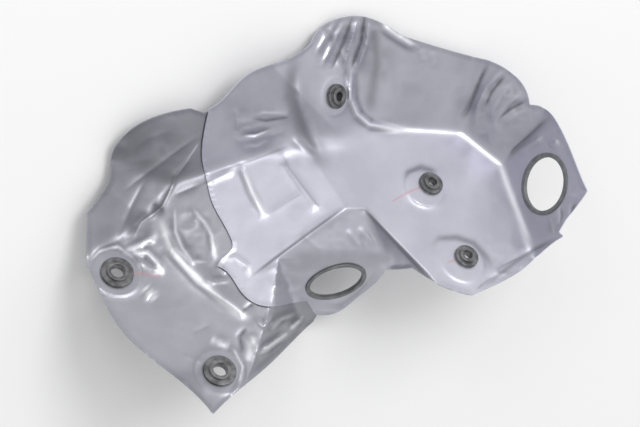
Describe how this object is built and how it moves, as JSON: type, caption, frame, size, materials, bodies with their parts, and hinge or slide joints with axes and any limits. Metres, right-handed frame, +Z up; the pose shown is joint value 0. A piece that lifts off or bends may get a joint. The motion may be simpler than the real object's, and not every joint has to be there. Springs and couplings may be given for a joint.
{
  "type": "exhaust heat shield",
  "caption": "Formed thin-sheet heat shield in two lapped halves, a deep tray with a bolt flange, crimped bolt bushes and ringed round ports.",
  "frame": {"origin": "centre of the bounding box, on the surface the shield lies on", "axes": "+Z up as it lies with its open side up, the viewer of the picture stands towards -Y"},
  "size_m": [0.3266, 0.2942, 0.1276],
  "materials": {
    "left_sheet": "satin, creased",
    "right_sheet": "satin, creased",
    "port_ring": "dark, dull",
    "bush": "dark, dull"
  },
  "bodies": {
    "root": {"left_shell": "left_sheet", "right_shell": "right_sheet", "port_rings": "port_ring", "flange_bushes": "bush", "panel_bushes": "bush"}
  },
  "joints": []
}
